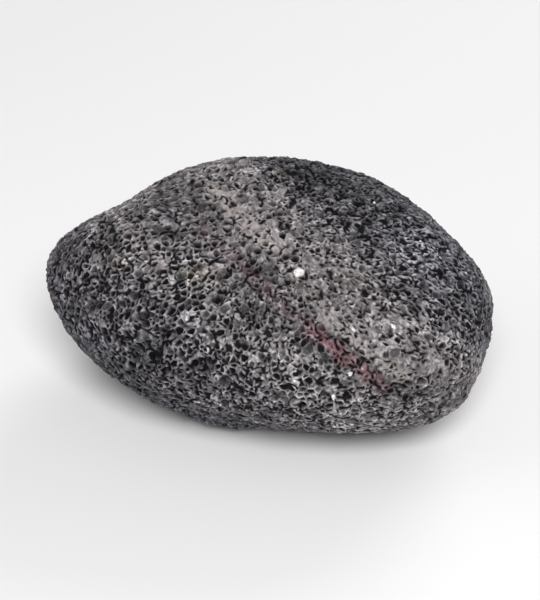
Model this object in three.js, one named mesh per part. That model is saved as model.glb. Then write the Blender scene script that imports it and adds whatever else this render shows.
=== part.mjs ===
// A tumbled lava stone for an aquarium: one natural piece of bubbly basalt, worn to a rounded lump.
// It is a blank ellipsoid with broad facets worn into it, bosses, hollows and low swells over the whole skin,
// open pockets where gas bubbles have run together, and a flat foot that it rests on.
// Millimetres, +Z up, +X along the stone. The origin is on the ground under the middle of the stone.

import * as THREE from 'three';
import { ConvexHull } from 'three/addons/math/ConvexHull.js';

// Driving dimensions: the overall size of the worn stone.
const LENGTH = 115.5;
const WIDTH = 84.5;
const HEIGHT = 60.5;

// The blank before wear: half sizes and centre. The ground cuts its underside off flat.
const BLANK_HALF = new THREE.Vector3(0.5605 * LENGTH, 0.527 * WIDTH, 0.5365 * HEIGHT);
const BLANK_CENTRE = new THREE.Vector3(-0.95, 1.72, 0.48 * HEIGHT);

// How tightly the edges between facets are rounded: a higher number gives a crisper edge.
const EDGE_POWER = 12;

// Worn facets: the way each one looks, in degrees round from +X and up from the ground, and the depth worn.
const FACETS = [
  { place: 'crown, sloping to the front', azimuth: -68, elevation: 66, depth: 6.0 },
  { place: 'front face', azimuth: -70, elevation: 42, depth: 1.2 },
  { place: 'front foot', azimuth: -85, elevation: -52, depth: 1.9 },
  { place: 'left end', azimuth: 178, elevation: 10, depth: 0.9 },
  { place: 'left heel', azimuth: 210, elevation: -13, depth: 2.5 },
  { place: 'left shoulder', azimuth: 163, elevation: 46, depth: 8.9 },
  { place: 'left foot', azimuth: 232, elevation: -40, depth: 1.7 },
  { place: 'right end', azimuth: 3, elevation: -3, depth: 2.4 },
  { place: 'right heel', azimuth: 11, elevation: -19, depth: 1.0 },
  { place: 'right shoulder', azimuth: 48, elevation: 38, depth: 3.7 },
  { place: 'back slope', azimuth: 112, elevation: 45, depth: 4.2 },
  { place: 'back face', azimuth: 96, elevation: 4, depth: 3.5 },
  { place: 'back left', azimuth: 142, elevation: -8, depth: 6.5 },
  { place: 'back right', azimuth: 55, elevation: -12, depth: 5.6 },
];

// Low swells over the skin: the way each wave runs, its length, its height and where it starts.
const SWELLS = [
  { run: new THREE.Vector3(1.0, 0.4, 0.2), wavelength: 37, height: 0.24, start: 0.3 },
  { run: new THREE.Vector3(-0.3, 1.0, 0.5), wavelength: 29, height: 0.22, start: 1.9 },
  { run: new THREE.Vector3(0.5, -0.6, 1.0), wavelength: 22, height: 0.18, start: 4.1 },
  { run: new THREE.Vector3(0.9, 0.8, -0.7), wavelength: 15, height: 0.12, start: 2.7 },
];

// Hollows and bosses: their place, how far they spread in degrees, and their height (a hollow's is negative).
const LUMPS = [
  { place: 'ridge by the left end', azimuth: -141, elevation: 36, spread: 11, height: 0.6 },
  { place: 'hollow behind that ridge', azimuth: -165, elevation: 33, spread: 12, height: -0.9 },
  { place: 'hollow low on the left', azimuth: -107, elevation: 3, spread: 13, height: -0.5 },
  { place: 'boss low on the right', azimuth: -30, elevation: 8, spread: 16, height: 0.5 },
  { place: 'dent on the crown', azimuth: 15, elevation: 62, spread: 12, height: -0.5 },
  { place: 'dent at the back right', azimuth: 74, elevation: 18, spread: 13, height: -1.3 },
  { place: 'dent at the back left', azimuth: 140, elevation: 20, spread: 12, height: -1.0 },
  { place: 'boss low at the back', azimuth: 118, elevation: -2, spread: 12, height: 0.9 },
  { place: 'boss on the left end', azimuth: -170, elevation: 14, spread: 11, height: 1.6 },
  { place: 'neck behind the left end', azimuth: 171, elevation: 24, spread: 12, height: -2.5 },
  { place: 'boss under the left end', azimuth: -147, elevation: -10, spread: 12, height: 1.1 },
  { place: 'belly by the front foot', azimuth: -95, elevation: -44, spread: 16, height: 1.5 },
  { place: 'hollow under the right front', azimuth: -45, elevation: -38, spread: 14, height: -1.0 },
  { place: 'knuckle low on the right end', azimuth: -12, elevation: -15, spread: 10, height: 0.65 },
];

// Pockets on the front, where several gas bubbles have run together, with their places in degrees.
const FRONT_POCKETS = [
  { azimuth: -139.5, elevation: 29, radius: 1.2 },
  { azimuth: -127, elevation: 25.5, radius: 1.2 },
  { azimuth: -128.5, elevation: 19, radius: 1.1 },
  { azimuth: -126, elevation: 70, radius: 1.1 },
  { azimuth: -115, elevation: 40, radius: 1.1 },
  { azimuth: -89, elevation: 3.5, radius: 1.6 },
  { azimuth: -103.5, elevation: 11.5, radius: 1.3 },
  { azimuth: -85.5, elevation: 9, radius: 1.3 },
  { azimuth: -68, elevation: 17.5, radius: 1.1 },
  { azimuth: -110.5, elevation: 4.5, radius: 1.4 },
  { azimuth: -106, elevation: 1.5, radius: 1.3 },
  { azimuth: -111, elevation: -1.5, radius: 1.2 },
];

// All the pockets: how many, the largest radius, how fast they get smaller, how much they vary, how much
// coarser they are towards one side, the wall that they leave to each other, and the bare edge of the foot.
const POCKET_COUNT = 440;
const LARGEST_POCKET = 1.8;
const POCKET_FALLOFF = 0.13;
const POCKET_SCATTER = 0.16;
const COARSE_SIDE = new THREE.Vector3(-0.80, -0.45, -0.40).normalize();
const COARSE_GAIN = 0.15;
const POCKET_WALL = 1.14;
const FOOT_MARGIN = 2.5;

// The shape of a pocket, in shares of its radius.
const RIM_POINTS = 6;
const FLOOR_POINTS = 3;
const FLOOR_SHARE = 0.5;
const DEPTH_SHARE = 0.75;
const WOBBLE = 0.12;

// The skin between the pockets, and how far the blank may dip under the foot where the skin still has points.
const SKIN_POINTS = 1210;
const POCKET_CLEARANCE = 0.7;
const FOOT_DIP = 1.2;

// Turns, and the steps of the repeatable scatter.
const TURN = 2 * Math.PI;
const GOLDEN_ANGLE = Math.PI * (3 - Math.sqrt(5));
const SCATTER_STEP = 12.9898;
const SCATTER_GAIN = 43758.5453;
const DRAWS_PER_PLACE = 3;
const DRAWS_PER_SHAPE = 20;
const PROBE_STEP = 0.02;
const NEARLY_UPRIGHT = 0.9;

// A number from 0 to 1 that looks random and is the same on every run.
function chance(seed) {
  const value = Math.sin(seed * SCATTER_STEP) * SCATTER_GAIN;
  return value - Math.floor(value);
}

// The same, from -1 to 1.
function spreadChance(seed) {
  return 2 * chance(seed) - 1;
}

function aim(azimuth, elevation) {
  const round = THREE.MathUtils.degToRad(azimuth);
  const up = THREE.MathUtils.degToRad(elevation);
  const flat = Math.cos(up);
  return new THREE.Vector3(flat * Math.cos(round), flat * Math.sin(round), Math.sin(up));
}

const planes = FACETS.map(({ azimuth, elevation, depth }) => {
  const normal = aim(azimuth, elevation);
  const reach = normal.clone().multiply(BLANK_HALF).length();
  return { normal, distance: reach - depth };
});

const waves = SWELLS.map(({ run, wavelength, height, start }) => {
  const pace = run.clone().normalize().multiplyScalar(TURN / wavelength);
  return { pace, height, start };
});

const lumps = LUMPS.map(({ azimuth, elevation, spread, height }) => {
  const width = 1 - Math.cos(THREE.MathUtils.degToRad(spread));
  return { centre: aim(azimuth, elevation), width, height };
});

// The distance from the blank's centre to the worn skin, as if there were no ground: a rounded minimum of the
// ellipsoid and the facets, then the lumps and swells.
function wornReach(direction) {
  let sum = direction.clone().divide(BLANK_HALF).length() ** EDGE_POWER;
  for (const { normal, distance } of planes) {
    const facing = Math.max(direction.dot(normal), 0);
    sum += (facing / distance) ** EDGE_POWER;
  }
  const worn = sum ** (-1 / EDGE_POWER);
  let reach = worn;
  for (const { centre, width, height } of lumps) {
    reach += height * Math.exp((direction.dot(centre) - 1) / width);
  }
  for (const { pace, height, start } of waves) {
    reach += height * Math.sin(worn * pace.dot(direction) + start);
  }
  return reach;
}

// How far the skin without its ground dips below it in a direction.
function dipOf(direction) {
  return -BLANK_CENTRE.z - wornReach(direction) * direction.z;
}

// The distance from the blank's centre to the stone's skin.
function reachOf(direction) {
  return dipOf(direction) > 0 ? -BLANK_CENTRE.z / direction.z : wornReach(direction);
}

function skinPoint(direction) {
  return direction.clone().multiplyScalar(reachOf(direction)).add(BLANK_CENTRE);
}

function directionTo(point) {
  return point.clone().sub(BLANK_CENTRE).normalize();
}

// A direction from a height and a turn round the blank, such that even steps give an even skin.
function blankDirection(height, turn) {
  const flat = Math.sqrt(1 - height * height);
  const onSphere = new THREE.Vector3(flat * Math.cos(turn), flat * Math.sin(turn), height);
  return onSphere.multiply(BLANK_HALF).normalize();
}

// A point of the skin with the direction out of it and two directions along it.
function tangentFrame(direction) {
  const upright = Math.abs(direction.z) > NEARLY_UPRIGHT;
  const guide = upright ? new THREE.Vector3(1, 0, 0) : new THREE.Vector3(0, 0, 1);
  const sideways = new THREE.Vector3().crossVectors(guide, direction).normalize();
  const upward = new THREE.Vector3().crossVectors(direction, sideways);
  const here = skinPoint(direction);
  const aside = skinPoint(direction.clone().addScaledVector(sideways, PROBE_STEP).normalize());
  const above = skinPoint(direction.clone().addScaledVector(upward, PROBE_STEP).normalize());
  const out = new THREE.Vector3().crossVectors(aside.sub(here), above.sub(here)).normalize();
  const along = new THREE.Vector3().crossVectors(upward, out).normalize();
  const across = new THREE.Vector3().crossVectors(out, along);
  return { here, out, along, across };
}

function placedPocket({ azimuth, elevation, radius }) {
  const direction = aim(azimuth, elevation);
  return { direction, centre: skinPoint(direction), radius };
}

// The pocket of a rank: pockets get smaller as the rank goes up.
function scatteredPocket(rank) {
  const seed = DRAWS_PER_PLACE * rank;
  const direction = blankDirection(spreadChance(seed + 1), TURN * chance(seed + 2));
  const scatter = 1 + POCKET_SCATTER * spreadChance(seed + 3);
  const coarse = 1 + COARSE_GAIN * direction.dot(COARSE_SIDE);
  const radius = (LARGEST_POCKET - POCKET_FALLOFF * Math.log(1 + rank)) * scatter * coarse;
  return { direction, centre: skinPoint(direction), radius };
}

// The front pockets, then others, each kept where it leaves a wall to those before it and clears the foot.
function openPockets() {
  const kept = FRONT_POCKETS.map(placedPocket);
  for (let rank = 0; kept.length < POCKET_COUNT; rank += 1) {
    const pocket = scatteredPocket(rank);
    const { centre, radius } = pocket;
    const apart = (other) => centre.distanceTo(other.centre) > POCKET_WALL * (radius + other.radius);
    if (centre.z > FOOT_MARGIN + radius && kept.every(apart)) {
      kept.push(pocket);
    }
  }
  return kept;
}

// The points of a pocket: its rim on the skin and the ring of its floor below.
function pocketPoints({ direction, radius }, number) {
  const { here, out, along, across } = tangentFrame(direction);
  const seed = DRAWS_PER_SHAPE * number;
  const turned = chance(seed);
  const ring = (count, share, depth, firstSeed) => Array.from({ length: count }, (_, index) => {
    const angle = TURN * (index + turned) / count;
    const distance = radius * share * (1 + WOBBLE * spreadChance(firstSeed + index));
    const spot = here.clone();
    spot.addScaledVector(along, distance * Math.cos(angle));
    spot.addScaledVector(across, distance * Math.sin(angle));
    const spotDirection = directionTo(spot);
    return { direction: spotDirection, position: skinPoint(spotDirection).addScaledVector(out, -depth) };
  });
  const rim = ring(RIM_POINTS, 1, 0, seed + 1);
  const floor = ring(FLOOR_POINTS, FLOOR_SHARE, DEPTH_SHARE * radius, seed + 1 + RIM_POINTS);
  return [...rim, ...floor];
}

// Even points over the skin, apart from where the pockets are and from the middle of the flat foot.
function skinPoints(pockets) {
  const points = [];
  for (let index = 0; index < SKIN_POINTS; index += 1) {
    const height = 1 - (2 * index + 1) / SKIN_POINTS;
    const direction = blankDirection(height, GOLDEN_ANGLE * index);
    const position = skinPoint(direction);
    const outside = ({ centre, radius }) => position.distanceTo(centre) > radius + POCKET_CLEARANCE;
    if (dipOf(direction) < FOOT_DIP && pockets.every(outside)) {
      points.push({ direction, position });
    }
  }
  return points;
}

// Triangles over all the points: the hull of their directions joins each one to its neighbours.
function skinGeometry(points) {
  const hull = new ConvexHull().setFromPoints(points.map(({ direction }) => direction));
  const indexOf = new Map(points.map(({ direction }, index) => [direction, index]));
  const corner = (face, number) => indexOf.get(face.getEdge(number).head().point);
  const triangles = hull.faces.flatMap((face) => [0, 1, 2].map((number) => corner(face, number)));
  const positions = points.flatMap(({ position }) => position.toArray());
  const geometry = new THREE.BufferGeometry();
  geometry.setAttribute('position', new THREE.Float32BufferAttribute(positions, 3));
  geometry.setIndex(triangles);
  geometry.computeVertexNormals();
  return geometry;
}

function lavaStone() {
  const pockets = openPockets();
  const points = [...skinPoints(pockets), ...pockets.flatMap(pocketPoints)];
  const basalt = new THREE.MeshStandardMaterial({ color: 0x565254, roughness: 0.95, metalness: 0 });
  const stone = new THREE.Mesh(skinGeometry(points), basalt);
  stone.name = 'lava_stone';
  return stone;
}

const part = new THREE.Group();
part.add(lavaStone());

export default part;
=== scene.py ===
"""A tumbled lava stone for an aquarium, dressed for its looks.

The stone's form is worked out in millimetres by the same rules as its solid: a blank ellipsoid with worn
facets, lumps, swells and a flat foot, and pockets sunk into it. This mesh adds every open bubble down to
the fine pores, the worn walls between them, a low unevenness of the skin and the pale crystal flecks.
Its material adds the flow bands, patches and streaks, and the mineral grain, with a painted shadow along
the top edge, painted shade in the pits and pockets, and painted highlights on the rims.
"""

import itertools
import math

import bpy
import numpy as np
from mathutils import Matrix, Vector
from mathutils.geometry import delaunay_2d_cdt
from mathutils.noise import fractal


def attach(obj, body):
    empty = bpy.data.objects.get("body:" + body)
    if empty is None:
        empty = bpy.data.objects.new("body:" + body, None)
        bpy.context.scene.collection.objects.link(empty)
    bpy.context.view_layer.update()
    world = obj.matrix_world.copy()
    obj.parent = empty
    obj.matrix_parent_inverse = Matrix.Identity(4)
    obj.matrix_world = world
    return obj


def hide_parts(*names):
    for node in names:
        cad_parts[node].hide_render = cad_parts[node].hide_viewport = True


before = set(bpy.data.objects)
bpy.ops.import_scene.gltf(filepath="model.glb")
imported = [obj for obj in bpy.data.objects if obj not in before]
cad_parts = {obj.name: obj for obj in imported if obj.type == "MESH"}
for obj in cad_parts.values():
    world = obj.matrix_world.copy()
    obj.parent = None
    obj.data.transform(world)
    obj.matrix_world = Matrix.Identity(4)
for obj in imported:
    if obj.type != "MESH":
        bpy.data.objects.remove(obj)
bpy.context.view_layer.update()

# Lengths are in millimetres until the mesh is made.
METRE = 1000.0
TURN = 2 * math.pi

# The worn stone's overall size, and its blank before wear.
LENGTH = 115.5
WIDTH = 84.5
HEIGHT = 60.5
BLANK_HALF = np.array([0.5605 * LENGTH, 0.527 * WIDTH, 0.5365 * HEIGHT])
BLANK_CENTRE = np.array([-0.95, 1.72, 0.48 * HEIGHT])
EDGE_POWER = 12

# Worn facets: azimuth and elevation in degrees, and the depth worn.
FACETS = [
    (-68, 66, 6.0),    # crown, sloping to the front
    (-70, 42, 1.2),    # front face
    (-85, -52, 1.9),   # front foot
    (178, 10, 0.9),    # left end
    (210, -13, 2.5),   # left heel
    (163, 46, 8.9),    # left shoulder
    (232, -40, 1.7),   # left foot
    (3, -3, 2.4),      # right end
    (11, -19, 1.0),    # right heel
    (48, 38, 3.7),     # right shoulder
    (112, 45, 4.2),    # back slope
    (96, 4, 3.5),      # back face
    (142, -8, 6.5),    # back left
    (55, -12, 5.6),    # back right
]

# Low swells over the skin: the way each wave runs, its length, its height and where it starts.
SWELLS = [
    ((1.0, 0.4, 0.2), 37, 0.24, 0.3),
    ((-0.3, 1.0, 0.5), 29, 0.22, 1.9),
    ((0.5, -0.6, 1.0), 22, 0.18, 4.1),
    ((0.9, 0.8, -0.7), 15, 0.12, 2.7),
]

# Hollows and bosses: azimuth, elevation and spread in degrees, and the height.
LUMPS = [
    (-141, 36, 11, 0.6),
    (-165, 33, 12, -0.9),
    (-107, 3, 13, -0.5),
    (-30, 8, 16, 0.5),
    (15, 62, 12, -0.5),
    (74, 18, 13, -1.3),
    (140, 20, 12, -1.0),
    (118, -2, 12, 0.9),
    (-170, 14, 11, 1.6),
    (171, 24, 12, -2.5),
    (-147, -10, 12, 1.1),
    (-95, -44, 16, 1.5),
    (-45, -38, 14, -1.0),
    (-12, -15, 10, 0.65),
]

# Pockets on the front, where several bubbles have run together: azimuth, elevation, radius.
FRONT_POCKETS = [
    (-139.5, 29, 1.2),
    (-127, 25.5, 1.2),
    (-128.5, 19, 1.1),
    (-126, 70, 1.1),
    (-115, 40, 1.1),
    (-89, 3.5, 1.6),
    (-103.5, 11.5, 1.3),
    (-85.5, 9, 1.3),
    (-68, 17.5, 1.1),
    (-110.5, 4.5, 1.4),
    (-106, 1.5, 1.3),
    (-111, -1.5, 1.2),
]

# All the pockets, as in the solid.
POCKET_COUNT = 440
POCKET_TRIES = 900
LARGEST_POCKET = 1.8
POCKET_FALLOFF = 0.13
POCKET_SCATTER = 0.16
POCKET_WALL = 1.14      # centres keep apart by this much of both radii
POCKET_DEPTH = 0.6      # share of the radius
POCKET_CURVE = 0.75     # how round the bowl is
# The pockets' middles get painted shade, by this share.
POCKET_SHADE = 0.3      # how much darker its middle is
FOOT_MARGIN = 2.5       # larger openings keep this far above the ground

# Bubbles and pockets are coarser towards one side.
COARSE_SIDE = np.array([-0.80, -0.45, -0.40]) / np.linalg.norm([-0.80, -0.45, -0.40])
COARSE_GAIN = 0.15

# Pale crystals on the front: azimuth, elevation, radius.
FRONT_FLECKS = [
    (-52.5, 37.4, 0.75),
    (-41.1, 15.7, 0.28),
    (-45.5, 4.8, 0.28),
    (-50.3, -1.8, 0.28),
    (-30.5, 15.0, 0.28),
    (14.8, 46.4, 0.28),
]

# The other pale crystals, all at the back.
FLECK_SHARE = 0.002     # share of the cells
LARGEST_FLECK = 0.32    # radius
FLECKS_BEHIND = 15.0    # Y that they lie beyond

# Flow bands: the direction across them, and the pale dense band's level and half width.
BAND_NORMAL = (0.47, 0.50, 0.73)
PALE_LEVEL = 35.0
PALE_HALF = 6.0

# The single open bubbles, from coarse to fine.
BUBBLE_TRIES = 110000
FINE_RADIUS = 0.37
EXTRA_RADIUS = 0.5        # what the first ones have on top
EXTRA_RANKS = 60          # how many places it takes to fall off
BUBBLE_SCATTER = 0.5
BUBBLE_WALL = 0.15
FOOT_CLEAR_RADIUS = 0.8   # larger ones keep off the foot

# The walls between bubbles, and how far they are worn down.
WALL_HALF = (0.06, 0.40)     # half a wall's thickness
WALL_SHARE = (0.06, 0.60)    # limits of it, by the way to the cell's centre
SHARP_SHARE = 0.58           # share of the meetings of walls that are one sharp point
MEETING_SHIFT = (0.6, 1.5)   # how unevenly a meeting lies between its cells
JUNCTION_WEAR = 0.25         # wear of a meeting
WALL_CRUMBLE = 0.27          # wear of one rim point
BROKEN_SHARE = 0.16          # share of the meetings that are broken away
BROKEN_DROP = (0.25, 0.60)   # how far those are down
PAIR_SHARE = 0.5             # share of the likeliest walls that are lost
PAIR_DROP = (0.8, 1.3)       # how far those are down, by the smaller pit's radius
PAIR_SEED = 0.5              # keeps this choice apart from the scattered places
GROUND_LEVEL = 0.05          # rims below this aren't worn

# The pits.
PIT_DEPTH = (1.6, 2.6)       # by the radius
LARGEST_DEPTH = 2.3
APEX_SHIFT = 0.15            # how far the deepest point is off the middle, by the radius
INNER_COUNT = 2600           # how many of the largest pits are bowls
INNER_SHARE = 0.72           # a bowl's inner ring, by its rim
INNER_DEPTH = 0.62           # and by its depth
INNER_SPREAD = (0.8, 1.2)    # how uneven that depth is
CLOSED_SHARE = 0.10          # share of the pits that are closed
DENSE_SHARE = 0.5            # how many more are closed in the pale band
LARGEST_CLOSED = 0.7         # radius
CLOSED_DEPTH = (0.1, 0.35)
FLECK_REACH = 1.3            # a crystal's corners, by the radius
FLECK_RISE = 0.35            # and its top

# How dark the pits are, as painted shade, and how bright the rims, partly worn and partly a painted
# highlight.
PIT_SHADE = (0.45, 1.30)
INNER_SHADE = 0.55           # a bowl's inner ring, by its pit
DIMPLE_SHADE = 1.2           # a closed pit, by its depth
RIM_SHADE_START = 0.15       # wear at which a rim point starts to darken
RIM_SHADE_SPAN = 1.5         # by the radius
MEETING_BRIGHT = 0.75        # share of a rim's brightness that is the same for its meeting
PIT_BRIGHT = 0.5             # the most in a pit

# The skin's unevenness: the height and size of its bumps, which fade out towards the ground, and
# the falloff, the step and the number of its finer and finer layers.
CRAG_HEIGHT = 0.5
CRAG_SIZE = 3.0
CRAG_FADE = 4.0
CRAG_LAYERS = (1.0, 2.0, 2)

# Small closed cells under the foot, in a ring round the direction straight down.
POLE_RING = 24
POLE_ANGLE = math.radians(2.0)
POLE_CLEAR_ANGLE = 1.5 * POLE_ANGLE    # bubbles keep outside this

# Edges that turn by more than this stay sharp.
SHARP_ANGLE = math.radians(48)

# How the skin's slope is felt: the step aside, and the upward part of a direction that is too upright
# to be measured from Z.
PROBE_STEP = 0.02
UPRIGHT = 0.9
TINY = 1e-9    # keeps a division from zero

# Where the random numbers start, and the step and gain of a quicker kind.
SEED = 20
CHANCE_STEP = 12.9898
CHANCE_GAIN = 43758.5453


def chance(seed):
    """Numbers from 0 to 1 that look random and are the same on every run."""
    value = np.sin(seed * CHANCE_STEP) * CHANCE_GAIN
    return value - np.floor(value)


def aim(azimuth, elevation):
    """The unit direction at an azimuth and elevation in degrees."""
    turn, rise = np.radians(azimuth), np.radians(elevation)
    return np.stack([np.cos(rise) * np.cos(turn), np.cos(rise) * np.sin(turn), np.sin(rise)], -1)


def unit(vectors):
    """The vectors with a length of 1."""
    return vectors / np.linalg.norm(vectors, axis=-1, keepdims=True)


def reach(directions):
    """The distance from the blank's centre to the worn skin, in each direction."""
    total = np.linalg.norm(directions / BLANK_HALF, axis=-1) ** EDGE_POWER
    for azimuth, elevation, depth in FACETS:
        normal = aim(azimuth, elevation)
        distance = np.linalg.norm(normal * BLANK_HALF) - depth
        total += (np.maximum(directions @ normal, 0) / distance) ** EDGE_POWER
    worn = total ** (-1 / EDGE_POWER)
    result = worn.copy()
    for azimuth, elevation, spread, height in LUMPS:
        width = 1 - math.cos(math.radians(spread))
        result += height * np.exp((directions @ aim(azimuth, elevation) - 1) / width)
    for run, wavelength, height, start in SWELLS:
        pace = unit(np.array(run)) * TURN / wavelength
        result += height * np.sin(worn * (directions @ pace) + start)
    ground = BLANK_CENTRE[2] / np.maximum(-directions[..., 2], TINY)
    return np.minimum(result, ground)


def skin(directions):
    """The points of the worn skin in each direction from the blank's centre."""
    return directions * reach(directions)[..., None] + BLANK_CENTRE


def skin_and_normals(directions):
    """The points of the worn skin, and the direction out of the skin at each."""
    upright = np.abs(directions[:, 2:]) > UPRIGHT
    guide = np.where(upright, [1.0, 0.0, 0.0], [0.0, 0.0, 1.0])
    sideways = unit(np.cross(guide, directions))
    upward = np.cross(directions, sideways)
    here = skin(directions)
    aside = skin(unit(directions + PROBE_STEP * sideways)) - here
    above = skin(unit(directions + PROBE_STEP * upward)) - here
    return here, unit(np.cross(aside, above))


def blank_directions(height, turn):
    """Directions from heights and turns round the blank, such that even steps give an even skin."""
    flat = np.sqrt(1 - height * height)
    return unit(np.stack([flat * np.cos(turn), flat * np.sin(turn), height], -1) * BLANK_HALF)


def scattered_places(tries):
    """Places all over the skin in a repeatable order: the rank, the direction, and the scatter and the
    coarseness of what opens there."""
    rank = np.arange(tries)
    directions = blank_directions(2 * chance(3 * rank + 1) - 1, TURN * chance(3 * rank + 2))
    scatter = 2 * chance(3 * rank + 3) - 1
    return rank, directions, scatter, 1 + COARSE_GAIN * (directions @ COARSE_SIDE)


def open_pockets():
    """The pockets' centres and radii: the front ones, then others that leave a wall and clear the foot."""
    kept = [(skin(aim(azimuth, elevation)), radius) for azimuth, elevation, radius in FRONT_POCKETS]
    rank, directions, scatter, coarse = scattered_places(POCKET_TRIES)
    radii = (LARGEST_POCKET - POCKET_FALLOFF * np.log(1 + rank)) * (1 + POCKET_SCATTER * scatter) * coarse
    for centre, radius in zip(skin(directions), radii):
        clear = centre[2] > FOOT_MARGIN + radius
        apart = all(math.dist(centre, other) > POCKET_WALL * (radius + size) for other, size in kept)
        if clear and apart and len(kept) < POCKET_COUNT:
            kept.append((centre, radius))
    return kept


class Crowd:
    """Round things on the skin that keep a wall between them, found quickly by a grid of boxes."""

    BOX = 2.5    # a box's side

    def __init__(self):
        self.directions = []
        self.centres = []
        self.radii = []
        self.boxes = {}
        self.largest = 0.0

    def box(self, centre):
        """The number of the box that a point is in, along each axis."""
        return tuple(int(math.floor(part / self.BOX)) for part in centre)

    def fits(self, centre, radius, wall):
        """Whether a round thing would leave a wall to all the others."""
        steps = int(math.ceil((radius + self.largest + wall) / self.BOX))
        near = itertools.product(*(range(at - steps, at + steps + 1) for at in self.box(centre)))
        return not any(math.dist(centre, self.centres[other]) < radius + self.radii[other] + wall
                       for box in near for other in self.boxes.get(box, ()))

    def add(self, direction, centre, radius):
        """Takes in a round thing."""
        self.boxes.setdefault(self.box(centre), []).append(len(self.radii))
        self.directions.append(direction)
        self.centres.append(centre)
        self.radii.append(radius)
        self.largest = max(self.largest, radius)


def open_bubbles():
    """The bubbles' directions and radii: first the front flecks, then others in order of size that leave
    a wall."""
    crowd = Crowd()
    for azimuth, elevation, radius in FRONT_FLECKS:
        direction = aim(azimuth, elevation)
        crowd.add(direction, tuple(skin(direction)), radius)
    rank, directions, scatter, coarse = scattered_places(BUBBLE_TRIES)
    base = FINE_RADIUS + EXTRA_RADIUS / np.sqrt(1 + rank / EXTRA_RANKS)
    radii = (base * (1 + BUBBLE_SCATTER * scatter) * coarse).tolist()
    for direction, centre, radius in zip(directions, skin(directions).tolist(), radii):
        on_foot = radius > FOOT_CLEAR_RADIUS and centre[2] < FOOT_MARGIN + radius
        at_pole = direction[2] < -math.cos(POLE_CLEAR_ANGLE)
        if not on_foot and not at_pole and crowd.fits(centre, radius, BUBBLE_WALL):
            crowd.add(direction, tuple(centre), radius)
    return np.array(crowd.directions), np.array(crowd.radii)


def sphere_triangles(directions):
    """Triangles that join neighbouring directions all round; the last direction is straight down, and the
    ring of directions before it goes round that one."""
    flat = directions[:-1, :2] / (1 + directions[:-1, 2:])
    found = delaunay_2d_cdt([Vector(point) for point in flat.tolist()], [], [], 0, 0.0)
    ring = len(flat) - POLE_RING + np.arange(POLE_RING)
    cap = np.stack([np.roll(ring, -1), ring, np.full(POLE_RING, len(flat))], -1)
    return np.concatenate([np.array(found[2]), cap])


def twin_edges(triangles):
    """For the edge from each corner of each triangle, the same edge of the triangle on its other side."""
    start = triangles.ravel()
    end = np.roll(triangles, -1, axis=1).ravel()
    count = start.max() + 1
    key, wanted = start * count + end, end * count + start
    order = np.argsort(key)
    return order[np.searchsorted(key[order], wanted)]


def rows(pick, *columns):
    """Rows of one number from each column, where picked."""
    return np.stack([column[pick] for column in columns], -1)


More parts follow.
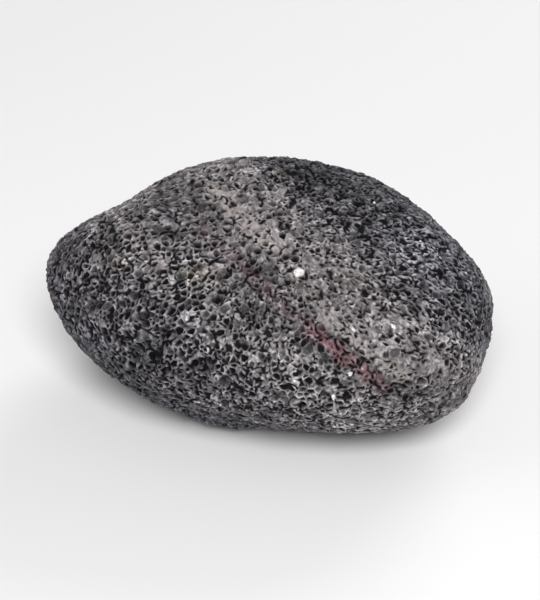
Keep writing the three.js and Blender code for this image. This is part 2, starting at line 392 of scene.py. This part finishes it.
class Froth:
    """The skin as a froth: a cell round each bubble, with walls between the cells.

    A triangle is a meeting of three cells. Each of its corners is a rim point of the cell there, and also
    starts one of its edges, so rim points and edges share their numbers. An edge crosses the wall from its
    cell to the next one.
    """

    def __init__(self):
        self.rng = np.random.default_rng(SEED)
        self.place_cells()
        self.join_cells()
        self.close_cells()
        self.place_rims()
        self.wear_rims()
        self.merge_pits()
        self.sink_pits()
        self.round_pits()

    def between(self, limits, shape):
        """Random numbers between two limits."""
        low, high = limits
        return low + (high - low) * self.rng.random(shape)

    def place_cells(self):
        """A cell round each bubble, then the small ones under the foot."""
        directions, radii = open_bubbles()
        turn = TURN * np.arange(POLE_RING) / POLE_RING
        down = np.full(POLE_RING, -math.cos(POLE_ANGLE))
        ring = np.stack([np.sin(POLE_ANGLE) * np.cos(turn), np.sin(POLE_ANGLE) * np.sin(turn), down], -1)
        self.bubbles = len(radii)
        self.directions = np.concatenate([directions, ring, [[0.0, 0.0, -1.0]]])
        self.radii = np.concatenate([radii, np.full(POLE_RING + 1, FINE_RADIUS)])
        self.count = len(self.radii)
        self.centres, self.out = skin_and_normals(self.directions)

    def join_cells(self):
        """The meetings of neighbouring cells, and the ways from each edge to those around it: onward is the
        next one in its triangle, twin is the same one from the other side, and beside is the rim point of
        the same cell over there."""
        self.triangles = sphere_triangles(self.directions)
        self.cell = self.triangles.ravel()
        self.edge = np.arange(len(self.cell))
        self.onward = np.roll(self.edge.reshape(-1, 3), -1, axis=1).ravel()
        self.twin = twin_edges(self.triangles)
        self.beside = self.onward[self.twin]
        self.next_cell = self.cell[self.twin]

    def close_cells(self):
        """Which cells are pale flecks, and which are closed, as more are in the pale band."""
        number = np.arange(self.count)
        picked = self.rng.random(self.count) < FLECK_SHARE
        behind = self.centres[:, 1] > FLECKS_BEHIND
        self.fleck = picked & behind & (self.radii < LARGEST_FLECK)
        self.fleck |= number < len(FRONT_FLECKS)
        dense = np.exp(-((self.centres @ BAND_NORMAL - PALE_LEVEL) / PALE_HALF) ** 2)
        filled = self.rng.random(self.count) < CLOSED_SHARE + DENSE_SHARE * dense
        self.closed = self.fleck | (number >= self.bubbles) | (filled & (self.radii < LARGEST_CLOSED))

    def place_rims(self):
        """The rim points on the unworn skin: at each meeting they are drawn back by half a wall, or are one
        sharp point. Own is the point that stands for each: itself, or the sharp one."""
        centres = self.centres[self.triangles]
        radii = self.radii[self.triangles]
        fleck = self.fleck[self.triangles]
        pull = self.between(MEETING_SHIFT, radii.shape) / radii
        meeting = np.einsum("tc,tcx->tx", pull, centres) / pull.sum(1, keepdims=True)
        toward = centres - meeting[:, None]
        distance = np.linalg.norm(toward, axis=-1)
        wall = self.between(WALL_HALF, distance.shape)
        sharp = (self.rng.random(len(self.triangles)) < SHARP_SHARE) & ~fleck.any(1)
        share = np.where(sharp[:, None], 0.0, np.clip(wall / distance, *WALL_SHARE))
        share = np.maximum(share, np.where(fleck, 1 - FLECK_REACH * radii / distance, 0.0))
        self.own = np.where(np.repeat(sharp, 3), 3 * (self.edge // 3), self.edge)
        drawn_back = (meeting[:, None] + toward * share[..., None]).reshape(-1, 3)
        self.level = skin(unit(drawn_back - BLANK_CENTRE))

    def wear_rims(self):
        """How far each rim point is worn down: a little, or more where a meeting has broken away."""
        meetings = len(self.triangles)
        broken = self.rng.random(meetings) < BROKEN_SHARE
        sunk = JUNCTION_WEAR * self.rng.random(meetings) ** 2
        sunk += np.where(broken, self.between(BROKEN_DROP, meetings), 0.0)
        crumble = WALL_CRUMBLE * self.rng.random(self.triangles.shape) ** 2
        self.drop = (sunk[:, None] + crumble).ravel()

    def merge_pits(self):
        """Takes down walls between open pits: of the likeliest wall of each cell, some are lost."""
        luck = self.rng.random(len(self.edge))
        luck = np.maximum(luck, luck[self.twin])
        best = np.zeros(self.count)
        np.maximum.at(best, self.cell, luck)
        lost = (luck == best[self.cell]) | (luck == best[self.next_cell])
        lost &= ~self.closed[self.cell] & ~self.closed[self.next_cell]
        lost &= (chance(self.edge + PAIR_SEED) < PAIR_SHARE) & (self.edge < self.twin)
        smaller = np.minimum(self.radii[self.cell], self.radii[self.next_cell])[lost]
        fall = smaller * self.between(PAIR_DROP, lost.sum())
        for side in (self.edge, self.onward, self.twin, self.beside):
            point = self.own[side[lost]]
            self.drop[point] = np.maximum(self.drop[point], fall)
        self.drop = self.drop[self.own]
        self.drop[(self.level[:, 2] < GROUND_LEVEL) | self.fleck[self.cell]] = 0.0
        self.rim = self.level - self.out[self.cell[self.own]] * self.drop[:, None]

    def sink_pits(self):
        """The apex of each cell: the bottom of an open pit or a shallow dimple, or the top of a crystal."""
        depth = np.minimum(self.radii * self.between(PIT_DEPTH, self.count), LARGEST_DEPTH)
        self.depth = np.where(self.closed, self.between(CLOSED_DEPTH, self.count), depth)
        self.depth[self.fleck] = -FLECK_RISE * self.radii[self.fleck]
        self.depth[self.bubbles:] = 0.0
        shift = self.between((-APEX_SHIFT, APEX_SHIFT), (self.count, 3)) * self.radii[:, None]
        shift[self.closed] = 0.0
        self.apex = self.centres - self.out * self.depth[:, None] + shift

    def round_pits(self):
        """The inner rings of the largest open pits, which make them bowls and not cones."""
        self.large = np.zeros(self.count, bool)
        by_size = np.argsort(np.where(self.closed, 0.0, -self.radii))
        self.large[by_size[:INNER_COUNT]] = True
        self.bowl = np.flatnonzero(self.large[self.cell])
        self.home = self.cell[self.bowl]
        centres = self.centres[self.home]
        depth = INNER_DEPTH * self.between(INNER_SPREAD, len(self.home)) * self.depth[self.home]
        depth = np.maximum(depth, self.drop[self.bowl])
        ring = centres + (self.level[self.bowl] - centres) * INNER_SHARE
        self.inner = ring - self.out[self.home] * depth[:, None]

    def places(self):
        """All the points: the rims, the apexes and the inner rings."""
        return np.concatenate([self.rim, self.apex, self.inner])

    def faces(self):
        """Triangles at the meetings, along the walls and down into the cones and bowls."""
        first_apex = len(self.rim)
        apex = first_apex + self.cell
        inner = np.full(len(self.cell), -1)
        inner[self.bowl] = first_apex + self.count + np.arange(len(self.bowl))
        inner_beside = inner[self.beside]
        wall = self.edge < self.twin
        cone = ~self.large[self.cell]
        faces = np.concatenate([
            self.edge.reshape(-1, 3),
            rows(wall, self.beside, self.twin, self.onward),
            rows(wall, self.beside, self.onward, self.edge),
            rows(cone, apex, self.beside, self.edge),
            rows(self.bowl, inner_beside, self.beside, self.edge),
            rows(self.bowl, inner_beside, self.edge, inner),
            rows(self.bowl, apex, inner_beside, inner),
        ])
        on_rim = faces < first_apex
        faces[on_rim] = self.own[faces[on_rim]]
        a, b, c = faces.T
        return faces[(a != b) & (b != c) & (c != a)]

    def tones(self):
        """For each point, the painted shade that darkens it in its pit, whether it is a pale fleck, and how
        bright it is, partly worn and partly a painted highlight.
        """
        none = np.zeros(len(self.home))
        # Painted shade: rim points worn lower, open pits and closed dimples are darkened.
        rim_shade = (self.drop - RIM_SHADE_START) / (RIM_SHADE_SPAN * self.radii[self.cell])
        open_shade = self.between(PIT_SHADE, self.count)
        pit_shade = np.where(self.closed, DIMPLE_SHADE * self.depth, open_shade)
        pore_shade = np.concatenate([np.clip(rim_shade, 0, 1), pit_shade, INNER_SHADE * pit_shade[self.home]])
        fleck = np.concatenate([self.fleck[self.cell], self.fleck, none])
        # A rim's brightness: partly wear, partly a painted highlight on the ridge.
        by_meeting = np.repeat(self.rng.random(len(self.triangles)), 3)
        by_point = self.rng.random(len(self.rim))
        bright = MEETING_BRIGHT * by_meeting + (1 - MEETING_BRIGHT) * by_point
        wear_and_highlight = np.concatenate([bright, PIT_BRIGHT * self.rng.random(self.count), none])
        return pore_shade, fleck, wear_and_highlight


def roughen(places):
    """Makes the whole skin stand out or lie back a little here and there."""
    crag = np.array([fractal(place / CRAG_SIZE, *CRAG_LAYERS) for place in places])
    crag *= CRAG_HEIGHT * np.clip(places[:, 2] / CRAG_FADE, 0, 1)
    places += unit(places - BLANK_CENTRE) * crag[:, None]


def sink_pockets(places, pore_shade):
    """Sinks the pockets as bowls into the froth, with painted shade inside, and keeps all above the ground.
    """
    for centre, radius in open_pockets():
        within = np.flatnonzero(np.abs(places - centre).max(1) < radius)
        inside = 1 - np.sum((places[within] - centre) ** 2, 1) / radius ** 2
        bowl = np.clip(inside, 0, 1) ** POCKET_CURVE
        places[within] -= unit(centre - BLANK_CENTRE) * (POCKET_DEPTH * radius * bowl)[:, None]
        pore_shade[within] = np.minimum(pore_shade[within] + POCKET_SHADE * bowl, 1)
    places[:, 2] = np.maximum(places[:, 2], 0.0)


def stone_mesh():
    """The stone's closed mesh, with the tones of its points."""
    froth = Froth()
    places = froth.places()
    pore_shade, fleck, wear_and_highlight = froth.tones()
    roughen(places)
    sink_pockets(places, pore_shade)
    used, faces = np.unique(froth.faces(), return_inverse=True)

    mesh = bpy.data.meshes.new("lava_stone_skin")
    mesh.from_pydata((places[used] / METRE).tolist(), [], faces.reshape(-1, 3).tolist())
    # Painted shade in pits and pockets, pale flecks, and brightness partly worn and partly a painted
    # highlight.
    for name, values in (("pore_shade", pore_shade), ("fleck", fleck), ("wear_and_highlight", wear_and_highlight)):
        attribute = mesh.attributes.new(name, "FLOAT", "POINT")
        attribute.data.foreach_set("value", values[used].astype(np.float32))
    mesh.polygons.foreach_set("use_smooth", np.ones(len(mesh.polygons), bool))
    mesh.set_sharp_from_angle(angle=SHARP_ANGLE)
    mesh.update()
    return mesh


# The flow bands' colours by their level.
BAND_SPAN = (-40.0, 60.0)
BANDS = [
    (-12, (93, 91, 96)),      # dark, bluish
    (3, (114, 111, 115)),
    (13, (132, 128, 130)),    # mid grey
    (25, (120, 116, 119)),
    (31, (116, 112, 114)),
    (37.5, (127, 122, 124)),
    (42, (140, 135, 137)),    # pale, warm
    (46.5, (110, 108, 112)),
    (50, (104, 101, 106)),
    (56, (99, 98, 103)),      # dark, bluish
]

# How much more the rims and grain, their painted highlights and the painted shade in the pits stand out in
# the dark bands: two levels, and the gain at each.
CRISP_BELOW = ((4.0, 22.0), (1.22, 1.0))
CRISP_ABOVE = ((42.0, 48.0), (1.0, 1.2))

# Patches on the front, the first of them a painted shadow along the top edge: the place, the radius,
# and how much lighter or darker.
PATCHES = [
    # painted shadow from neighbouring stones, darkening the top edge
    ((8.6, 13.4, 59.3), 15.0, 0.55),
    ((-11.6, -11.0, 56.4), 7.0, 0.56),
    ((45.0, -5.6, 48.8), 14.0, 1.25),
    ((41.0, 2.5, 51.8), 13.0, 1.60),
    ((35.0, -8.0, 50.5), 7.0, 1.20),
    ((-34.8, -24.0, 49.7), 7.0, 0.72),
    ((-45.8, -22.0, 43.0), 8.0, 0.66),
    ((-10.9, -23.3, 51.3), 5.0, 1.30),
    ((5.9, -13.8, 53.9), 8.0, 1.28),
    ((-12.0, -28.5, 48.6), 6.0, 1.20),
    ((7.8, -22.9, 49.2), 4.5, 0.62),
    ((11.5, -32.5, 43.3), 8.0, 0.58),
    ((29.3, -18.2, 47.2), 5.0, 0.70),
    ((54.5, -11.6, 40.6), 7.0, 1.25),
    ((-11.5, -41.8, 32.0), 8.0, 0.68),
    ((-3.1, -42.1, 27.9), 8.0, 0.68),
    ((-20.3, -38.4, 21.4), 3.0, 1.70),
    ((23.7, -37.5, 33.5), 10.0, 1.40),
    ((45.5, -29.1, 27.9), 5.5, 0.70),
    ((0.2, -39.1, 19.3), 10.0, 1.50),
]
PATCH_CORE = 0.3    # share of the radius within which the tone is full

# Streaks along the bands: level, half width, middle, half length, where it has faded out, strength
# and colour.
STREAKS = [
    (30.4, 2.4, (31.5, -27.5, 40.0), 15.0, 22.0, 0.55, (172, 164, 161)),    # beige
    (34.4, 3.4, (-2.0, -10.0, 56.0), 13.0, 18.0, 0.78, (175, 167, 164)),    # beige
    (14.3, 2.4, (-24.0, -24.0, 51.7), 7.0, 12.0, 0.50, (160, 149, 146)),    # beige
    (25.7, 2.8, (32.9, -32.0, 37.0), 9.5, 15.0, 0.72, (110, 61, 68)),       # dull red
    (25.9, 3.0, (12.0, -24.0, 48.0), 20.0, 34.0, 0.28, (110, 61, 68)),      # dull red
]
STREAK_CORE = 0.2    # share of the half width within which the colour is full

# Noise: its scale per millimetre, detail, roughness and shift, then the span of it that is used and
# what this span becomes.
CLOUDS = {
    "warp": (0.07, 4.0, 0.55, 0.0, (0.30, 0.70), (-2.2, 2.2)),        # bends the bands, in millimetres
    "stain": (0.11, 3.0, 0.55, 31.0, (0.62, 0.74), (0.0, 0.45)),      # share of the stain's colour
    "blotch": (0.10, 2.0, 0.50, 51.0, (0.30, 0.70), (0.78, 1.22)),    # broad light and dark
    "mottle": (0.35, 4.0, 0.60, 7.0, (0.33, 0.67), (0.45, 1.55)),     # small light and dark
    "grain": (1.60, 3.0, 0.70, 3.0, (0.33, 0.67), (0.50, 1.50)),      # light and dark grains
    "bend": (0.25, 3.0, 0.55, 12.0, (0.30, 0.70), (-0.9, 0.9)),       # bends the streaks, in millimetres
    "patchy": (0.80, 3.0, 0.60, 41.0, (0.35, 0.62), (0.25, 1.0)),     # thins the streaks
    "facet": (1.10, 1.0, 0.55, 61.0, (0.35, 0.65), (0.72, 1.10)),     # light and dark in the crystals
    "dull": (1.10, 2.0, 0.55, 23.0, (0.30, 0.70), (0.82, 0.96)),      # roughness of the finish
}

# The fine bumps' noise, strength and height, and the weak shine.
BUMP_NOISE = (2.4, 4.0, 0.65, 17.0)
BUMP_STRENGTH = 0.8
BUMP_HEIGHT = 0.16
SPECULAR_LEVEL = 0.15

STAIN_COLOUR = (128, 119, 106)
CRYSTAL_COLOUR = (226, 223, 219)
CRYSTAL_EDGE = (0.3, 0.6)    # from the rock to the crystal, by the share of fleck

# How light a rim is, from the least to the most worn, its brightness partly a painted highlight, and the
# darkest that the grain makes it.
RIM_WEAR_AND_HIGHLIGHT = (0.15, 0.95)
RIM_TONE = (0.62, 1.75)
DARKEST_RIM = 0.12

# Painted shade in the pits: where it starts, where it is near black, and how light it still leaves them
# there.
PORE_START = 0.12
PORE_BLACK = 0.75
PORE_TONE = 0.03

# The numbers of a Mix node's colour sockets.
MIX_FACTOR = 0
MIX_FIRST = 6
MIX_SECOND = 7
MIX_RESULT = 2


def linear(red, green, blue):
    """A display colour of 0 to 255 as linear light, by the sRGB formula, with alpha."""
    def channel(value):
        share = value / 255
        return share / 12.92 if share <= 0.04045 else ((share + 0.055) / 1.055) ** 2.4
    return (channel(red), channel(green), channel(blue), 1.0)


class Nodes:
    """Short ways to add nodes to one material."""

    def __init__(self, material):
        self.tree = material.node_tree
        self.tree.nodes.clear()
        place = self.add("TexCoord").outputs["Object"]
        self.spot = self.add("VectorMath", {0: place, "Scale": METRE}, operation="SCALE").outputs[0]

    def add(self, kind, inputs=(), **settings):
        """A node with its settings and inputs; an input that is a socket is linked."""
        node = self.tree.nodes.new("ShaderNode" + kind)
        for name, value in settings.items():
            setattr(node, name, value)
        for name, value in dict(inputs).items():
            if isinstance(value, bpy.types.NodeSocket):
                self.tree.links.new(value, node.inputs[name])
            else:
                node.inputs[name].default_value = value
        return node

    def ramp(self, factor, stops):
        """A colour out of a row of positions and colours."""
        node = self.add("ValToRGB", {"Fac": factor})
        elements = node.color_ramp.elements
        while len(elements) < len(stops):
            elements.new(0.5)
        for element, (position, colour) in zip(elements, stops):
            element.position = position
            element.color = colour
        return node.outputs["Color"]

    def mix(self, factor, first, second, blend="MIX"):
        """Two colours mixed."""
        inputs = {MIX_FACTOR: factor, MIX_FIRST: first, MIX_SECOND: second}
        return self.add("Mix", inputs, data_type="RGBA", blend_type=blend).outputs[MIX_RESULT]

    def maths(self, operation, first, second=0.0):
        """One operation on two numbers."""
        return self.add("Math", {0: first, 1: second}, operation=operation).outputs[0]

    def scaled(self, value, span, becomes=(0.0, 1.0), smooth=False):
        """A number with one span made into another, and held at its ends."""
        kind = "SMOOTHSTEP" if smooth else "LINEAR"
        inputs = {"Value": value, "From Min": span[0], "From Max": span[1],
                  "To Min": becomes[0], "To Max": becomes[1]}
        return self.add("MapRange", inputs, interpolation_type=kind).outputs["Result"]

    def noise(self, scale, detail, roughness, shift):
        """Noise over the stone, shifted so that no two are alike."""
        moved = self.add("VectorMath", {0: self.spot, 1: (shift, shift, shift)}, operation="ADD").outputs[0]
        inputs = {"Vector": moved, "Scale": scale, "Detail": detail, "Roughness": roughness}
        return self.add("TexNoise", inputs).outputs["Fac"]

    def cloud(self, name):
        """One of the clouds of noise."""
        *noise, span, becomes = CLOUDS[name]
        return self.scaled(self.noise(*noise), span, becomes)

    def shaded(self, colour, tone):
        """A colour made lighter or darker."""
        grey = self.add("CombineColor", {0: tone, 1: tone, 2: tone}).outputs[0]
        return self.mix(1.0, colour, grey, "MULTIPLY")

    def distance_to(self, point):
        """The distance from a point, in millimetres."""
        return self.add("VectorMath", {0: self.spot, 1: point}, operation="DISTANCE").outputs["Value"]

    def attribute(self, name):
        """One of the tones that the mesh has at its points."""
        return self.add("Attribute", attribute_name=name).outputs["Fac"]


def banded(nodes, layer):
    """The colour of the flow bands, with stains."""
    low, high = BAND_SPAN
    stops = [((level - low) / (high - low), linear(*colour)) for level, colour in BANDS]
    colour = nodes.ramp(nodes.scaled(layer, BAND_SPAN), stops)
    return nodes.mix(nodes.cloud("stain"), colour, linear(*STAIN_COLOUR))


def mottled(nodes, colour):
    """The colour with its light and dark blotches, mottles and patches, one of them a painted shadow."""
    tone = nodes.maths("MULTIPLY", nodes.cloud("blotch"), nodes.cloud("mottle"))
    for point, radius, gain in PATCHES:
        away = nodes.distance_to(point)
        patch = nodes.scaled(away, (radius, PATCH_CORE * radius), (1.0, gain), smooth=True)
        tone = nodes.maths("MULTIPLY", tone, patch)
    return nodes.shaded(colour, tone)


def crispness(nodes, layer):
    """How much more the rims and grain, with their painted highlights and painted shade, stand out."""
    below = nodes.scaled(layer, *CRISP_BELOW, smooth=True)
    above = nodes.scaled(layer, *CRISP_ABOVE, smooth=True)
    return nodes.maths("MULTIPLY", below, above)


def rimmed(nodes, colour, crisp):
    """The colour with bright rims, partly worn and partly a painted highlight, and the mineral grain."""
    worn = nodes.scaled(nodes.attribute("wear_and_highlight"), RIM_WEAR_AND_HIGHLIGHT, RIM_TONE)
    tone = nodes.maths("MULTIPLY", worn, nodes.cloud("grain"))
    change = nodes.maths("MULTIPLY", nodes.maths("SUBTRACT", tone, 1.0), crisp)
    tone = nodes.maths("MAXIMUM", nodes.maths("ADD", change, 1.0), DARKEST_RIM)
    return nodes.shaded(colour, tone)


def streaked(nodes, colour, across):
    """The colour with the streaks along the bands."""
    bend = nodes.cloud("bend")
    patchy = nodes.cloud("patchy")
    for level, half, middle, length, faded, strength, tint in STREAKS:
        off = nodes.maths("ADD", nodes.maths("SUBTRACT", across, level), bend)
        streak = nodes.scaled(nodes.maths("ABSOLUTE", off), (half, STREAK_CORE * half), smooth=True)
        ends = nodes.scaled(nodes.distance_to(middle), (length, faded), (strength, 0.0), smooth=True)
        share = nodes.maths("MULTIPLY", nodes.maths("MULTIPLY", streak, ends), patchy)
        colour = nodes.mix(share, colour, linear(*tint))
    return colour


def basalt():
    """Dull grey rock with bands, patches and streaks, pale crystals, painted highlights on the rims and
    painted shade that makes the pits near black.
    """
    material = bpy.data.materials.new("bubbly_basalt")
    material.use_nodes = True
    nodes = Nodes(material)
    normal = {0: nodes.spot, 1: BAND_NORMAL}
    across = nodes.add("VectorMath", normal, operation="DOT_PRODUCT").outputs["Value"]
    layer = nodes.maths("ADD", across, nodes.cloud("warp"))
    crisp = crispness(nodes, layer)
    colour = mottled(nodes, banded(nodes, layer))
    colour = rimmed(nodes, colour, crisp)
    colour = streaked(nodes, colour, across)

    crystal = nodes.shaded(linear(*CRYSTAL_COLOUR), nodes.cloud("facet"))
    colour = nodes.mix(nodes.scaled(nodes.attribute("fleck"), CRYSTAL_EDGE), colour, crystal)
    # Painted shade: pits and pockets darkened to near black, sooner where the rims stand out more.
    black = nodes.maths("DIVIDE", PORE_BLACK, crisp)
    pore_shade = nodes.scaled(nodes.attribute("pore_shade"), (PORE_START, black), (1.0, PORE_TONE))
    colour = nodes.shaded(colour, pore_shade)

    bump = nodes.add("Bump", {"Strength": BUMP_STRENGTH, "Distance": BUMP_HEIGHT / METRE,
                              "Height": nodes.noise(*BUMP_NOISE)})
    shader = nodes.add("BsdfPrincipled", {"Base Color": colour, "Roughness": nodes.cloud("dull"),
                                          "Specular IOR Level": SPECULAR_LEVEL,
                                          "Normal": bump.outputs["Normal"]})
    nodes.add("OutputMaterial", {"Surface": shader.outputs["BSDF"]})
    return material


# The camera looks along the photograph's viewing angle, with the stone filling most of the frame's width.
VIEW_AZIMUTH = 22.0
VIEW_ELEVATION = 30.0
VIEW_DISTANCE = 620.0
VIEW_WIDTH = 136.0
VIEW_TARGET = Vector((0.0, 0.0, 28.0))
SENSOR_WIDTH = 36.0
CLIP_START = 10.0


def make_camera():
    """The camera, looking at the middle of the stone."""
    turn, rise = math.radians(VIEW_AZIMUTH), math.radians(VIEW_ELEVATION)
    back = Vector((math.sin(turn) * math.cos(rise), -math.cos(turn) * math.cos(rise), math.sin(rise)))
    data = bpy.data.cameras.new("camera")
    data.sensor_fit = "HORIZONTAL"
    data.sensor_width = SENSOR_WIDTH
    data.lens = SENSOR_WIDTH * VIEW_DISTANCE / VIEW_WIDTH
    data.clip_start = CLIP_START / METRE
    camera = bpy.data.objects.new("camera", data)
    camera.location = (VIEW_TARGET + back * VIEW_DISTANCE) / METRE
    camera.rotation_euler = back.to_track_quat("Z", "Y").to_euler()
    bpy.context.scene.collection.objects.link(camera)
    bpy.context.scene.camera = camera


# Area lights: place and size in metres, and power in watts. All look at the stone's foot.
LIGHTS = [
    ("key", (0.45, -0.95, 0.95), 0.6, 20.0),
    ("fill", (-1.1, -0.7, 0.7), 1.2, 3.5),
    ("rim", (0.15, 1.2, 0.55), 0.9, 9.0),
]
SKY_COLOUR = (1.0, 1.0, 1.0, 1.0)
SKY_STRENGTH = 0.25


def make_lights():
    """The lights and a weak even sky."""
    for name, place, size, power in LIGHTS:
        data = bpy.data.lights.new(name, "AREA")
        data.shape = "DISK"
        data.size = size
        data.energy = power
        light = bpy.data.objects.new(name, data)
        light.location = place
        light.rotation_euler = Vector(place).to_track_quat("Z", "Y").to_euler()
        bpy.context.scene.collection.objects.link(light)
    world = bpy.data.worlds.new("studio")
    world.use_nodes = True
    sky = world.node_tree.nodes["Background"]
    sky.inputs["Color"].default_value = SKY_COLOUR
    sky.inputs["Strength"].default_value = SKY_STRENGTH
    bpy.context.scene.world = world
    bpy.context.scene.view_settings.view_transform = "Standard"


# The floor: half its side in metres, and its pale dull finish.
FLOOR_HALF = 3.0
FLOOR_COLOUR = (0.83, 0.83, 0.83, 1.0)
FLOOR_ROUGHNESS = 0.85


def make_floor():
    """A wide flat floor on the ground, only for the picture."""
    mesh = bpy.data.meshes.new("floor")
    corners = [(-FLOOR_HALF, -FLOOR_HALF, 0), (FLOOR_HALF, -FLOOR_HALF, 0),
               (FLOOR_HALF, FLOOR_HALF, 0), (-FLOOR_HALF, FLOOR_HALF, 0)]
    mesh.from_pydata(corners, [], [(0, 1, 2, 3)])
    material = bpy.data.materials.new("pale_floor")
    material.use_nodes = True
    shader = material.node_tree.nodes["Principled BSDF"]
    shader.inputs["Base Color"].default_value = FLOOR_COLOUR
    shader.inputs["Roughness"].default_value = FLOOR_ROUGHNESS
    mesh.materials.append(material)
    floor = bpy.data.objects.new("floor", mesh)
    bpy.context.scene.collection.objects.link(floor)


make_camera()
stone = bpy.data.objects.new("lava_stone_skin", stone_mesh())
stone.data.materials.append(basalt())
bpy.context.scene.collection.objects.link(stone)
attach(stone, "root")
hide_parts("lava_stone")
make_floor()
make_lights()
